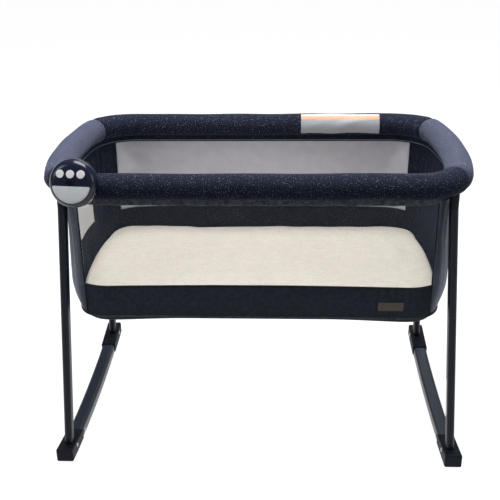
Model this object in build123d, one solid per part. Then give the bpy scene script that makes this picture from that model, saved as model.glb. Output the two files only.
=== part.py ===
"""Rocking bassinet: a fabric basket hung from a padded steel rail, on two plug-in rocker stands.

Millimetres. X runs along the basket, -Y is the side with the soother, +Z is up, and z = 0 is
the floor under the middle of the rockers. The origin is the bottom centre of the whole object.
"""

from build123d import *
import math
import os

os.makedirs("parts", exist_ok=True)

# Rail: a steel tube in a foam sleeve, seen from above a rounded rectangle with bowed ends
rail_half_length = 430.3
rail_half_width = 237.7
rail_corner_radius = 105.0
rail_end_radius = 900.0
rail_height = 652.0
rail_tube_diameter = 22.0
rail_tube_wall = 1.5
joiner_length = 110.0
joiner_wall = 2.0
rivet_diameter = 4.0
rivet_setback = 30.0
pad_diameter = 54.4
pad_seam_angle = 30.0
fit_clearance = 0.05
cloth_clearance = 0.3

# Binding strip that joins the basket cloth to the rail sleeve
trim_thickness = 2.2
trim_height = 14.0
trim_inset = 2.6

# Basket walls: straight down to the belly, then turned under to the bottom seam
wall_inset = 5.0
wall_thickness = 3.0
mesh_thickness = 1.2
belly_drop = 237.0
belly_draw = 2.0
bottom_seam_drop = 63.0
end_turn = 18.0
side_turn = 6.0
turn_steps = 3
window_half_width = 370.0
window_sill_rise = 11.0
window_sill_bow = 4.0
piping_diameter = 5.0

# Floor of the basket
floor_cloth_thickness = 2.5
floor_cloth_drop = 10.0
floor_cloth_draw = 12.0
board_thickness = 5.0

# Mattress pad
mattress_thickness = 38.0
mattress_crown = 6.0
mattress_half_length = 401.0
mattress_half_width = 218.0
mattress_corner_radius = 86.0
mattress_edge_round = 10.0
mattress_waist = 3.0
mattress_rings = 5
mattress_top_inset = 66.0

# Stands: two splayed flat-oval legs on a curved rocker, plugged up into the rail sockets
socket_angle = 40.0
socket_offset = 10.4
socket_wall = 2.0
socket_mouth_drop = 46.0
socket_bore_depth = 34.0
socket_clip_wall = 4.0
socket_clip_half_angle = 7.0
leg_width = 17.0
leg_depth = 30.0
leg_wall = 1.5
leg_foot_x = 430.0
leg_foot_y = 260.0
leg_foot_height = 50.0
leg_pocket_depth = 22.0
collar_height = 8.0
plug_length = 32.0
spigot_end_gap = 1.0

# Rockers
rocker_x = 433.0
rocker_radius = 2500.0
rocker_half_length = 300.0
bar_width = 33.0
bar_height = 24.0
bar_crown_radius = 7.0
bar_edge_radius = 3.0
bar_wall = 2.0
cap_width = 38.0
cap_joint_y = 200.0
cap_front_height = 32.0
cap_edge_radius = 4.0
cap_wall = 2.5
tongue_length = 36.0
bolt_diameter = 5.0
bolt_head_diameter = 10.0
bolt_head_height = 2.4
bolt_head_round = 1.4
bar_bolt_y = 181.0

# Soother: a round music and night-light unit that slides down on a bracket on the rail
soother_x = -357.5
soother_y = -269.5
soother_rise = 18.0
soother_turn = 6.0
soother_tilt = 15.0
soother_radius = 48.5
soother_front_depth = 20.0
soother_back_depth = 20.0
soother_back_flat_radius = 36.0
soother_wall = 2.2
lens_radius = 39.0
lens_top = -5.0
lens_thickness = 2.4
lens_corner_radius = 3.0
button_radius = 8.0
button_pitch = 21.0
button_row_y = 19.0
button_proud = 1.5
button_travel = 1.5
button_clearance = 0.25
button_flange = 1.6
button_flange_thickness = 1.4
slot_count = 3
slot_length = 18.0
slot_width = 2.0
slot_pitch = 4.0
slot_row_y = 1.0
board_radius = 37.0
circuit_board_thickness = 1.6
speaker_radius = 9.5
speaker_depth = 7.0
speaker_magnet_radius = 5.7
cell_radius = 5.25
cell_length = 44.5
cell_gap = 0.25
cell_row_y = 28.6
door_margin = 2.0
door_thickness = 2.0
door_clearance = 0.15
shell_screw_radius = 42.0
shell_screw_angle = 35.0
shell_screw_diameter = 3.0
shell_boss_radius = 3.5
shell_screw_length = 18.0
shell_screw_head = 2.0
bracket_angle = 63.0
bracket_neck_width = 12.0
bracket_neck_height = 14.0
bracket_tongue_width = 18.0
bracket_tongue_height = 24.0
bracket_tongue_thickness = 4.0
bracket_clearance = 0.3
bracket_foot = 5.0

# Sewn labels and patch, all blank
label_thickness = 0.8
label_gap = 0.1
rail_label_start = 98.0
rail_label_end = 292.0
rail_label_top_angle = 100.0
rail_label_bottom_angle = 216.0
patch_x = 284.0
patch_width = 54.0
patch_height = 21.0
patch_drop = 34.0
wall_label_front = -112.0
wall_label_back = 92.0
wall_label_rise = 31.0
wall_label_height = 114.0

# Room for a cut to run past the piece that it cuts
past = 5.0
far = 2.0 * rail_half_length

tube_radius = rail_tube_diameter / 2
pad_radius = pad_diameter / 2
pad_bottom = rail_height - pad_radius
belly_height = rail_height - belly_drop
bottom_seam_height = belly_height - bottom_seam_drop
window_sill_height = belly_height + window_sill_rise
socket_mouth_height = rail_height - socket_mouth_drop
soother_z = rail_height + soother_rise
patch_z = belly_height - patch_drop
wall_label_bottom = belly_height + wall_label_rise
wall_label_top = wall_label_bottom + wall_label_height
LEFT, RIGHT, FRONT, BACK = -1, 1, -1, 1
CORNERS = [(sx, sy) for sx in (LEFT, RIGHT) for sy in (FRONT, BACK)]
NAMES_X = {LEFT: "left", RIGHT: "right"}
NAMES_Y = {FRONT: "front", BACK: "back"}
# Profiles of the soother's shells, as shares of their radius and depth
DOME_RIM, DOME_BEND, DOME_SHOULDER, DOME_BROW = (1.0, 0.0), (0.915, 0.56), (0.68, 0.86), (0.35, 0.965)
BACK_RIM, BACK_BEND = (1.0, -0.25), (0.94, -0.75)


class Plan:
    """A rounded rectangle seen from above, whose two ends are shallow arcs."""

    def __init__(self, half_length, half_width, corner_radius, end_radius):
        self.half_length = half_length
        self.half_width = half_width
        self.corner_radius = corner_radius
        self.end_radius = end_radius
        self.centre_y = half_width - corner_radius
        self.end_centre_x = half_length - end_radius
        reach = math.sqrt((end_radius - corner_radius) ** 2 - self.centre_y ** 2)
        self.centre_x = self.end_centre_x + reach
        self.tangent = math.degrees(math.atan2(self.centre_y, reach))

    def grown(self, by, by_side=None):
        """The same plan moved out by a distance, which may differ at the long sides."""
        by_side = by if by_side is None else by_side
        return Plan(self.half_length + by, self.half_width + by_side,
                    self.corner_radius + by_side, self.end_radius + by)

    def corner(self, sx, sy, angle, z, offset=0.0):
        """A point of a corner arc: angle 90 meets the long side, 0 would face along X."""
        radius = self.corner_radius + offset
        turn = math.radians(angle)
        return Vector(sx * (self.centre_x + radius * math.cos(turn)),
                      sy * (self.centre_y + radius * math.sin(turn)), z)

    def corner_arc(self, sx, sy, start, stop, z):
        middle = (start + stop) / 2
        return ThreePointArc(self.corner(sx, sy, start, z), self.corner(sx, sy, middle, z),
                             self.corner(sx, sy, stop, z))

    def end_arc(self, sx, sy, z):
        """The arc across one end, drawn from the side sy to the other."""
        return ThreePointArc(self.corner(sx, sy, self.tangent, z), (sx * self.half_length, 0, z),
                             self.corner(sx, -sy, self.tangent, z))

    def side(self, sy, sx, z, waist=0.0):
        """A long side, drawn from the end sx to the other, drawn in at the middle by waist."""
        start = Vector(sx * self.centre_x, sy * self.half_width, z)
        stop = Vector(-sx * self.centre_x, sy * self.half_width, z)
        if waist:
            return ThreePointArc(start, (0, sy * (self.half_width - waist), z), stop)
        return Line(start, stop)

    def outline(self, z, waist=0.0):
        """The whole closed outline as a face at height z."""
        t = self.tangent
        edges = [self.side(FRONT, LEFT, z, waist), self.corner_arc(RIGHT, FRONT, 90, t, z),
                 self.end_arc(RIGHT, FRONT, z), self.corner_arc(RIGHT, BACK, t, 90, z),
                 self.side(BACK, RIGHT, z, waist), self.corner_arc(LEFT, BACK, 90, t, z),
                 self.end_arc(LEFT, BACK, z), self.corner_arc(LEFT, FRONT, t, 90, z)]
        return make_face(Wire([edge.edge() for edge in edges]))


rail = Plan(rail_half_length, rail_half_width, rail_corner_radius, rail_end_radius)


def joined(*curves):
    """One path from curves that follow each other."""
    return Wire([curve.edge() for curve in curves])


def along(path, outer, inner=None):
    """A round tube or rod swept along a path."""
    section = Circle(outer) if inner is None else Circle(outer) - Circle(inner)
    return sweep(Plane(origin=path @ 0, z_dir=path % 0) * section, path=path)


def end_path(sx, start):
    """The rail's line round one end, between two points of its corner arcs."""
    t = rail.tangent
    return joined(rail.corner_arc(sx, FRONT, start, t, rail_height),
                  rail.end_arc(sx, FRONT, rail_height),
                  rail.corner_arc(sx, BACK, t, start, rail_height))


def side_path(sy, start):
    """The rail's line along one side, between two points of its corner arcs."""
    return joined(rail.corner_arc(LEFT, sy, start, 90, rail_height),
                  rail.side(sy, LEFT, rail_height),
                  rail.corner_arc(RIGHT, sy, 90, start, rail_height))


def half_path(sx):
    """The U of one half of the rail tube, from the middle of one side to the other."""
    z = rail_height
    near = Vector(sx * rail.centre_x, -rail_half_width, z)
    far_side = Vector(sx * rail.centre_x, rail_half_width, z)
    return joined(Line((0, -rail_half_width, z), near),
                  rail.corner_arc(sx, FRONT, 90, rail.tangent, z), rail.end_arc(sx, FRONT, z),
                  rail.corner_arc(sx, BACK, rail.tangent, 90, z),
                  Line(far_side, (0, rail_half_width, z)))


def upright(width, depth, at, bottom, top):
    """A vertical flat-oval prism, depth along Y, at a point in plan."""
    profile = Plane(origin=(at.X, at.Y, bottom)) * SlotOverall(depth, width, rotation=90)
    return extrude(profile, top - bottom)


def rod(start, stop, radius):
    """A round bar between two points."""
    axis = Vector(*stop) - Vector(*start)
    return extrude(Plane(origin=start, z_dir=axis) * Circle(radius), axis.length)


# Rail sockets, one at each corner, clipped on the tube inside the foam

def socket_centre(sx, sy, z=0.0):
    """The upright axis of a socket, a little outside the tube's own line."""
    return rail.corner(sx, sy, socket_angle, z, socket_offset)


def socket_clip(sx, sy, radius):
    """A rod along the rail tube where the socket's clip grips it."""
    path = joined(rail.corner_arc(sx, sy, socket_angle - socket_clip_half_angle,
                                  socket_angle + socket_clip_half_angle, rail_height))
    return along(path, radius)


def socket_top():
    return rail_height - tube_radius + socket_clip_wall


def socket_bore(sx, sy, grow=0.0):
    top = socket_mouth_height + socket_bore_depth
    return upright(leg_width - 2 * socket_wall + 2 * grow, leg_depth - 2 * socket_wall + 2 * grow,
                   socket_centre(sx, sy), socket_mouth_height - past, top)


def make_socket(sx, sy):
    """A sleeve that takes the leg's spigot, under a ring round the rail tube."""
    sleeve = upright(leg_width, leg_depth, socket_centre(sx, sy), socket_mouth_height, socket_top())
    ring = socket_clip(sx, sy, tube_radius + socket_clip_wall)
    tube = along(end_path(sx, 90), tube_radius + fit_clearance)
    hole = rivet_hole(rail.corner(sx, sy, socket_angle, rail_height))
    return sleeve + ring - tube - socket_bore(sx, sy) - hole


def socket_room(sx, sy):
    """The hollow that the foam sleeve leaves for a socket."""
    c = cloth_clearance
    sleeve = upright(leg_width + 2 * c, leg_depth + 2 * c, socket_centre(sx, sy),
                     socket_mouth_height, socket_top() + c)
    return sleeve + socket_clip(sx, sy, tube_radius + socket_clip_wall + c)


def rivet_hole(at):
    """The upward hole for a rivet through the wall on top of the tube."""
    return rod((at.X, at.Y, rail_height), (at.X, at.Y, rail_height + pad_radius),
               rivet_diameter / 2 + fit_clearance)


def rivet(at, outer, inner):
    """A rivet from outer to inner distance above the tube's axis."""
    return rod((at.X, at.Y, rail_height + inner), (at.X, at.Y, rail_height + outer),
               rivet_diameter / 2)


# Rail

def joint_rivets():
    return [Vector(sx * rivet_setback, sy * rail_half_width, 0) for sx, sy in CORNERS]


def make_rail_tube(sx):
    tube = along(half_path(sx), tube_radius, tube_radius - rail_tube_wall)
    for at in joint_rivets():
        tube -= rivet_hole(at)
    for sy in (FRONT, BACK):
        tube -= rivet_hole(rail.corner(sx, sy, socket_angle, rail_height))
    return tube


def make_joiners():
    outer = tube_radius - rail_tube_wall - fit_clearance
    sleeves = []
    for sy in (FRONT, BACK):
        start = Vector(-joiner_length / 2, sy * rail_half_width, rail_height)
        stop = Vector(joiner_length / 2, sy * rail_half_width, rail_height)
        sleeve = rod(start, stop, outer) - rod(start, stop, outer - joiner_wall)
        for at in joint_rivets():
            sleeve -= rivet_hole(at)
        sleeves.append(sleeve)
    return Compound(children=sleeves)


def make_rail_rivets():
    inner = tube_radius - rail_tube_wall - joiner_wall
    return Compound(children=[rivet(at, tube_radius, inner) for at in joint_rivets()])


def make_socket_rivets():
    inner = tube_radius - rail_tube_wall
    outer = tube_radius + socket_clip_wall
    return Compound(children=[rivet(rail.corner(sx, sy, socket_angle, 0), outer, inner)
                              for sx, sy in CORNERS])


def make_end_pad(sx):
    """The foam sleeve round one end of the rail, up to the seams at its corners."""
    return along(end_path(sx, pad_seam_angle), pad_radius, tube_radius + cloth_clearance)


def make_side_pad(sy):
    """The foam sleeve along one side, hollowed for what is clipped on the tube."""
    pad = along(side_path(sy, pad_seam_angle), pad_radius, tube_radius + cloth_clearance)
    for sx in (LEFT, RIGHT):
        pad -= socket_room(sx, sy)
    if sy == FRONT:
        pad -= bracket_body(cloth_clearance)
    return pad


def make_trim():
    """The binding strip, hung just under the foam sleeve."""
    top = pad_bottom - cloth_clearance
    outer = rail.grown(-trim_inset).outline(top - trim_height)
    inner = rail.grown(-trim_inset - trim_thickness).outline(top - trim_height)
    return extrude(outer - inner, trim_height, dir=(0, 0, 1))


# Basket

def basket(inset):
    """The basket as a solid, moved in from the outer face of its cloth."""
    top = rail.grown(-wall_inset - inset)
    belly = top.grown(-belly_draw)
    sections = [top.outline(pad_bottom), belly.outline(belly_height)]
    for step in range(1, turn_steps + 1):
        turn = math.radians(90 * step / turn_steps)
        level = belly_height - (belly_height - bottom_seam_height) * math.sin(turn)
        share = 1 - math.cos(turn)
        sections.append(belly.grown(-end_turn * share, -side_turn * share).outline(level))
    return loft(sections, ruled=True)


def bottom_plan(inset):
    return rail.grown(-wall_inset - inset - belly_draw).grown(-end_turn, -side_turn)


def front_view(outline, sy):
    """A prism across one side of the basket from an outline in X and Z."""
    return extrude(make_face(outline), far, dir=(0, sy, 0))


def window(sy):
    """The opening for the net: upright sides, and a sill that bows up a little."""
    w, sill, head = window_half_width, window_sill_height, pad_bottom + past
    bow = ThreePointArc((-w, 0, sill), (0, 0, sill + window_sill_bow), (w, 0, sill))
    outline = joined(Line((-w, 0, head), (-w, 0, sill)), bow, Line((w, 0, sill), (w, 0, head)),
                     Line((w, 0, head), (-w, 0, head)))
    return front_view(outline, sy)


def side_zone(sy):
    """Everything between the window's two side seams, from the floor to the rail."""
    w, low, high = window_half_width, bottom_seam_height - past, pad_bottom + past
    outline = joined(Line((-w, 0, high), (-w, 0, low)), Line((-w, 0, low), (w, 0, low)),
                     Line((w, 0, low), (w, 0, high)), Line((w, 0, high), (-w, 0, high)))
    return front_view(outline, sy)


def end_zone(sx):
    """Everything past the windows' side seams at one end."""
    length = far - window_half_width
    centre = sx * (window_half_width + length / 2)
    return Pos(centre, 0, rail_height / 2) * Box(length, far, rail_height)


def make_basket_walls():
    """The bands, nets and end walls, cut from thin shells of one basket form."""
    outer = basket(0)
    cloth = outer - basket(wall_thickness)
    net = outer - basket(mesh_thickness)
    parts = {}
    for sy in (FRONT, BACK):
        parts[NAMES_Y[sy] + "_band"] = cloth & (side_zone(sy) - window(sy))
        parts[NAMES_Y[sy] + "_mesh"] = net & window(sy)
    for sx in (LEFT, RIGHT):
        parts[NAMES_X[sx] + "_end_wall"] = cloth & end_zone(sx)
    return parts


def make_bottom_piping():
    """A round cord sewn round the seam between the walls and the floor cloth."""
    plan = bottom_plan(0)
    z = bottom_seam_height - piping_diameter / 2
    t = plan.tangent
    path = joined(plan.side(FRONT, LEFT, z), plan.corner_arc(RIGHT, FRONT, 90, t, z),
                  plan.end_arc(RIGHT, FRONT, z), plan.corner_arc(RIGHT, BACK, t, 90, z),
                  plan.side(BACK, RIGHT, z), plan.corner_arc(LEFT, BACK, 90, t, z),
                  plan.end_arc(LEFT, BACK, z), plan.corner_arc(LEFT, FRONT, t, 90, z))
    return along(path, piping_diameter / 2)


def floor_cloth_bottom():
    return bottom_seam_height - floor_cloth_drop - floor_cloth_thickness


def make_floor_cloth():
    """A shallow tray of cloth that holds the board."""
    rim = bottom_plan(piping_diameter / 2)
    low = rim.grown(-floor_cloth_draw)
    bottom = floor_cloth_bottom()
    tray = loft([rim.outline(bottom_seam_height), low.outline(bottom)], ruled=True)
    mouth = rim.grown(-floor_cloth_thickness).outline(bottom_seam_height)
    base = low.grown(-floor_cloth_thickness).outline(bottom + floor_cloth_thickness)
    return tray - loft([mouth, base], ruled=True)


def board_plan():
    return bottom_plan(piping_diameter / 2).grown(-floor_cloth_draw - floor_cloth_thickness)


def make_board():
    bottom = floor_cloth_bottom() + floor_cloth_thickness
    return extrude(board_plan().outline(bottom), board_thickness, dir=(0, 0, 1))


def mattress_bottom():
    return floor_cloth_bottom() + floor_cloth_thickness + board_thickness + cloth_clearance


def make_mattress():
    """A pad whose edge is rounded and whose top rises to a soft crown."""
    edge = Plan(mattress_half_length, mattress_half_width, mattress_corner_radius, rail_end_radius)
    bottom = mattress_bottom()
    top = bottom + mattress_thickness - mattress_crown
    sections = [board_plan().outline(bottom, mattress_waist),
                edge.outline(bottom + mattress_thickness / 2, mattress_waist)]
    for ring in range(1, mattress_rings + 1):
        share = ring / mattress_rings
        inset = mattress_edge_round * share + mattress_top_inset * share ** 3
        rise = math.sin(math.radians(90 * share))
        level = top - mattress_edge_round + (mattress_edge_round + mattress_crown) * rise
        sections.append(edge.grown(-inset).outline(level, mattress_waist))
    return loft(sections, ruled=True)


# Stands

def leg_top():
    """The height of the leg tube's upper end, where the collar sits on it."""
    return socket_mouth_height - collar_height


def leg_line(sx, sy, z):
    """The point of a leg's axis at height z, from the socket's mouth to the foot."""
    top = socket_centre(sx, sy, leg_top())
    foot = Vector(sx * leg_foot_x, sy * leg_foot_y, leg_foot_height)
    return top + (foot - top) * ((top.Z - z) / (top.Z - foot.Z))


def leg_prism(sx, sy, bottom, top, width, depth):
    """A flat-oval bar along a leg's slanted axis."""
    start = leg_line(sx, sy, bottom)
    axis = leg_line(sx, sy, top) - start
    section = SlotOverall(depth, width, rotation=90)
    return extrude(Plane(origin=start, x_dir=(1, 0, 0), z_dir=axis) * section, axis.length)


def level_cut(low, high):
    """Everything between two heights."""
    return Pos(0, 0, (low + high) / 2) * Box(2 * far, 2 * far, high - low)


def make_leg(sx, sy):
    """A flat-oval tube, cut level at both ends, with a hole for its screw."""
    low, high = leg_foot_height - leg_pocket_depth, leg_top()
    outer = leg_prism(sx, sy, low - past, high + past, leg_width, leg_depth)
    inner = leg_prism(sx, sy, low - 2 * past, high + 2 * past,
                      leg_width - 2 * leg_wall, leg_depth - 2 * leg_wall)
    return ((outer - inner) & level_cut(low, high)) - leg_bolt(sx, sy, fit_clearance)


def make_spigot(sx, sy):
    """The moulding on top of a leg: a plug in the tube, a collar and an upright spigot."""
    seat = leg_top()
    fit = 2 * leg_wall + 2 * fit_clearance
    plug = leg_prism(sx, sy, seat - plug_length, seat + past, leg_width - fit, leg_depth - fit)
    plug = plug & level_cut(seat - plug_length - past, seat)
    collar = upright(leg_width, leg_depth, socket_centre(sx, sy), seat, socket_mouth_height)
    slack = 2 * socket_wall + 2 * fit_clearance
    spigot = upright(leg_width - slack, leg_depth - slack, socket_centre(sx, sy), socket_mouth_height,
                     socket_mouth_height + socket_bore_depth - spigot_end_gap)
    return plug + collar + spigot


def arc_height(y):
    """The height of the rocker's underside at a distance from its middle."""
    return rocker_radius - math.sqrt(rocker_radius ** 2 - y ** 2)


def bar_profile(grow=0.0):
    """The rocker bar's section: square below, crowned above."""
    half, height = bar_width / 2 + grow, bar_height + grow
    outline = Polyline((-half, -grow), (half, -grow), (half, height), (-half, height), close=True)
    face = make_face(outline)
    corners = face.vertices().sort_by(Axis.Y)
    face = fillet(corners[2:], bar_crown_radius + grow)
    corners = face.vertices().sort_by(Axis.Y)
    return fillet(corners[:2], max(bar_edge_radius + grow, bar_edge_radius / 2))


def rocker_sweep(sx, profile, start, stop):
    """A section carried along the rocker's arc between two distances from its middle."""
    turns = [math.asin(y / rocker_radius) for y in (start, (start + stop) / 2, stop)]
    points = [Vector(sx * rocker_x, rocker_radius * math.sin(t), rocker_radius * (1 - math.cos(t)))
              for t in turns]
    path = joined(ThreePointArc(*points))
    direction = path % 0
    section = Plane(origin=points[0], x_dir=(-1, 0, 0), z_dir=direction) * profile
    return sweep(section, path=path)


def make_rocker_bar(sx):
    outer = rocker_sweep(sx, bar_profile(), -cap_joint_y, cap_joint_y)
    inner = rocker_sweep(sx, bar_profile(-bar_wall), -cap_joint_y, cap_joint_y)
    bar = outer - inner
    for sy in (FRONT, BACK):
        bar -= bar_bolt(sx, sy, fit_clearance)
    return bar


def cap_body(sx, sy):
    """The block at a rocker's end, higher and wider than the bar, with rounded edges."""
    joint, end = sy * cap_joint_y, sy * rocker_half_length
    middle = (joint + end) / 2
    low_joint = Vector(0, joint, arc_height(joint))
    low_end = Vector(0, end, arc_height(end))
    high_end = low_end + Vector(0, 0, cap_front_height)
    high_joint = low_joint + Vector(0, 0, bar_height + cap_wall)
    underside = ThreePointArc(low_joint, (0, middle, arc_height(middle)), low_end)
    profile = joined(underside, Line(low_end, high_end), Line(high_end, high_joint),
                     Line(high_joint, low_joint))
    start = sx * rocker_x - cap_width / 2
    block = Pos(start, 0, 0) * extrude(make_face(profile), cap_width, dir=(1, 0, 0))
    outer_end = block.faces().sort_by(Axis.Y)[0 if sy < 0 else -1]
    long_edges = [edge for edge in block.edges()
                  if abs((edge @ 0).Y - (edge @ 1).Y) > (rocker_half_length - cap_joint_y) / 2]
    return fillet(outer_end.edges() + long_edges, cap_edge_radius)


def leg_bolt(sx, sy, grow=0.0):
    """A screw through the cap's inner side into the leg."""
    z = leg_foot_height - leg_pocket_depth / 2 - bolt_diameter / 2
    y = leg_line(sx, sy, z).Y
    face = rocker_x - cap_width / 2
    return side_bolt(sx, face, y, z, leg_line(sx, sy, z).X, grow)


def bar_bolt(sx, sy, grow=0.0):
    """A screw through the bar's inner side into the cap's tongue."""
    y = sy * bar_bolt_y
    z = arc_height(y) + bar_height / 2
    return side_bolt(sx, rocker_x - bar_width / 2, y, z, sx * (rocker_x - past), grow)


def side_bolt(sx, face, y, z, end_x, grow):
    """A button-head screw along X, its head on a face at a distance from the middle."""
    shank = rod((sx * face, y, z), (end_x, y, z), bolt_diameter / 2 + grow)
    head = rod((sx * (face - bolt_head_height), y, z), (sx * face, y, z), bolt_head_diameter / 2)
    rim = head.edges().filter_by(GeomType.CIRCLE).sort_by(Axis.X)
    head = fillet(rim[0] if sx > 0 else rim[-1], bolt_head_round)
    return shank + head


def make_cap(sx, sy):
    """A moulded shoe: a tongue into the hollow bar, and a pocket for the leg."""
    low, high = leg_foot_height - leg_pocket_depth, leg_foot_height + past
    pocket = leg_prism(sx, sy, low - past, high + past,
                       leg_width + 2 * fit_clearance, leg_depth + 2 * fit_clearance)
    tongue_end = cap_joint_y - tongue_length
    runs = sorted((sy * tongue_end, sy * (cap_joint_y + 1)))
    tongue = rocker_sweep(sx, bar_profile(-bar_wall - fit_clearance), runs[0], runs[1])
    cap = cap_body(sx, sy) + tongue
    cap -= pocket & level_cut(low, high)
    return cap - bar_bolt(sx, sy, fit_clearance) - leg_bolt(sx, sy, fit_clearance)


def make_stand_bolts(sx):
    bolts = []
    for sy in (FRONT, BACK):
        bolts.append(leg_bolt(sx, sy))
        bolts.append(bar_bolt(sx, sy))
    return Compound(children=bolts)


# Soother, drawn in its own frame: x to the right, y up the disc, z out of its face

def soother_plane():
    turn, tilt = math.radians(soother_turn), math.radians(soother_tilt)
    face = (-math.sin(turn) * math.cos(tilt), -math.cos(turn) * math.cos(tilt), math.sin(tilt))
    return Plane(origin=(soother_x, soother_y, soother_z),
                 x_dir=(math.cos(turn), -math.sin(turn), 0), z_dir=face)


def placed(shape):
    return soother_plane().location * shape


def section_point(radius, depth, shares):
    return Vector(radius * shares[0], 0, depth * shares[1])


def dome(lower=0.0, inset=0.0):
    """The front of the housing: a shallow crown that rolls over to an upright rim."""
    radius, depth = soother_radius - inset, soother_front_depth - lower
    rim, bend = section_point(radius, depth, DOME_RIM), section_point(radius, depth, DOME_BEND)
    shoulder, brow = section_point(radius, depth, DOME_SHOULDER), section_point(radius, depth, DOME_BROW)
    profile = joined(Line((0, 0, 0), rim), ThreePointArc(rim, bend, shoulder),
                     ThreePointArc(shoulder, brow, (0, 0, depth)), Line((0, 0, depth), (0, 0, 0)))
    return revolve(make_face(profile), Axis.Z)


def back_body():
    """The back of the housing: a flat disc with a rolled edge."""
    edge = Vector(soother_radius, 0, 0)
    rim = section_point(soother_radius, soother_back_depth, BACK_RIM)
    bend = section_point(soother_radius, soother_back_depth, BACK_BEND)
    flat = Vector(soother_back_flat_radius, 0, -soother_back_depth)
    middle = Vector(0, 0, -soother_back_depth)
    profile = joined(Line((0, 0, 0), edge), Line(edge, rim), ThreePointArc(rim, bend, flat),
                     Line(flat, middle), Line(middle, (0, 0, 0)))
    return revolve(make_face(profile), Axis.Z)


def lens_prism(grow=0.0):
    """The half-moon of the night light, seen from the front."""
    disc = Circle(lens_radius + grow)
    cut = Pos(0, lens_top + grow + far / 2) * Rectangle(far, far)
    moon = (disc - cut).face()
    moon = fillet(moon.vertices(), lens_corner_radius + grow)
    return extrude(moon, soother_front_depth)


def button_places():
    return [(-button_pitch, button_row_y), (0, button_row_y), (button_pitch, button_row_y)]


def button_sole():
    """The height of a button's lower end, clear of the board by its travel and a little more."""
    return circuit_board_thickness + 2 * button_travel


def make_button(place):
    """A round key with a flange that keeps it in, its top following the dome."""
    key = Pos(place[0], place[1], 0) * extrude(Circle(button_radius), soother_front_depth + button_proud)
    key = key & (Pos(0, 0, button_proud) * dome())
    flange = Pos(place[0], place[1], 0) * extrude(Circle(button_radius + button_flange), soother_front_depth)
    ceiling = Pos(0, 0, -soother_wall - cloth_clearance) * dome()
    floor = Pos(0, 0, -soother_wall - cloth_clearance - button_flange_thickness) * dome()
    sole = level_cut(button_sole(), soother_front_depth + 2 * past)
    return placed((key & sole) + (flange & (ceiling - floor)))


def shell_screw_places():
    turn = math.radians(shell_screw_angle)
    x, y = shell_screw_radius * math.cos(turn), shell_screw_radius * math.sin(turn)
    return [(-x, y), (x, y)]


def shell_screw_tip():
    """How far a shell screw reaches past the line where the two shells meet."""
    return shell_screw_length - soother_back_depth / 2


def speaker_slots():
    slots = []
    for index in range(slot_count):
        y = slot_row_y + (index - (slot_count - 1) / 2) * slot_pitch
        slot = extrude(SlotOverall(slot_length, slot_width), soother_front_depth)
        slots.append(Pos(0, y, soother_front_depth / 2) * slot)
    return slots


def make_front_shell():
    shell = dome() - dome(soother_wall, soother_wall)
    screw = Circle(shell_screw_diameter / 2 + fit_clearance)
    for x, y in shell_screw_places():
        boss = Pos(x, y, 0) * extrude(Circle(shell_boss_radius), soother_front_depth)
        shell += boss & dome()
        shell -= Pos(x, y, -past) * extrude(screw, past + shell_screw_tip())
    shell -= lens_prism(button_clearance) & (dome() - dome(lens_thickness + button_clearance))
    shell -= lens_prism(-soother_wall)
    for x, y in button_places():
        hole = extrude(Circle(button_radius + button_clearance), soother_front_depth)
        shell -= Pos(x, y, circuit_board_thickness) * hole
    for slot in speaker_slots():
        shell -= slot
    return placed(shell)


def make_lens():
    return placed(lens_prism() & (dome() - dome(lens_thickness)))


def cell_room(margin=0.0):
    height = 4 * cell_radius + 2 * cell_gap + 2 * margin
    return Rectangle(cell_length + 2 * cell_gap + 2 * margin, height)


def cell_depth():
    return 2 * cell_radius + cell_gap


def make_battery_door():
    outline = fillet(cell_room(door_margin).vertices(), door_margin)
    plate = extrude(outline, door_thickness)
    return placed(Pos(0, cell_row_y, -soother_back_depth) * plate)


def make_batteries():
    z = -soother_back_depth + door_thickness + cell_gap + cell_radius
    cells = []
    for side in (-1, 1):
        y = cell_row_y + side * (cell_radius + cell_gap / 2)
        cells.append(placed(rod((-cell_length / 2, y, z), (cell_length / 2, y, z), cell_radius)))
    return Compound(children=cells)


def pad_room():
    """The space that the padded rail takes behind the unit, also as the unit is lifted."""
    path = joined(rail.side(FRONT, RIGHT, rail_height),
                  rail.corner_arc(LEFT, FRONT, 90, rail.tangent, rail_height))
    sleeve = along(path, pad_radius + cloth_clearance)
    wide = rail.grown(pad_radius + cloth_clearance).outline(rail_height - 2 * soother_radius)
    below = extrude(wide, 2 * soother_radius, dir=(0, 0, 1))
    return sleeve + below


def bracket_frame():
    """Upright frame at the rail's line: x along the rail, z out of it."""
    at = rail.corner(LEFT, FRONT, bracket_angle, rail_height)
    turn = math.radians(bracket_angle)
    return Plane(origin=at, x_dir=(math.sin(turn), -math.cos(turn), 0),
                 z_dir=(-math.cos(turn), -math.sin(turn), 0))


def bracket_body(grow=0.0):
    """A clip round the tube, with a neck out through the foam and a tongue up its face."""
    path = joined(rail.corner_arc(LEFT, FRONT, bracket_angle - socket_clip_half_angle,
                                  bracket_angle + socket_clip_half_angle, rail_height))
    ring = along(path, tube_radius + socket_clip_wall + grow)
    face = pad_radius + cloth_clearance
    section = Rectangle(bracket_neck_width + 2 * grow, bracket_neck_height + 2 * grow)
    neck = extrude(section, face + bracket_foot)
    return ring + bracket_frame().location * neck


def bracket_tongue(grow=0.0, below=0.0):
    """The plate that the unit slides down on, with room below it for the lift."""
    height = bracket_tongue_height + 2 * grow + below
    plate = Box(bracket_tongue_width + 2 * grow, height, bracket_tongue_thickness + 2 * grow)
    lift = pad_radius + cloth_clearance + bracket_foot + bracket_tongue_thickness / 2
    return bracket_frame().location * (Pos(0, -below / 2, lift) * plate)


def make_bracket():
    tube = along(end_path(LEFT, 90), tube_radius + fit_clearance)
    return bracket_body() + bracket_tongue() - tube


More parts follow.
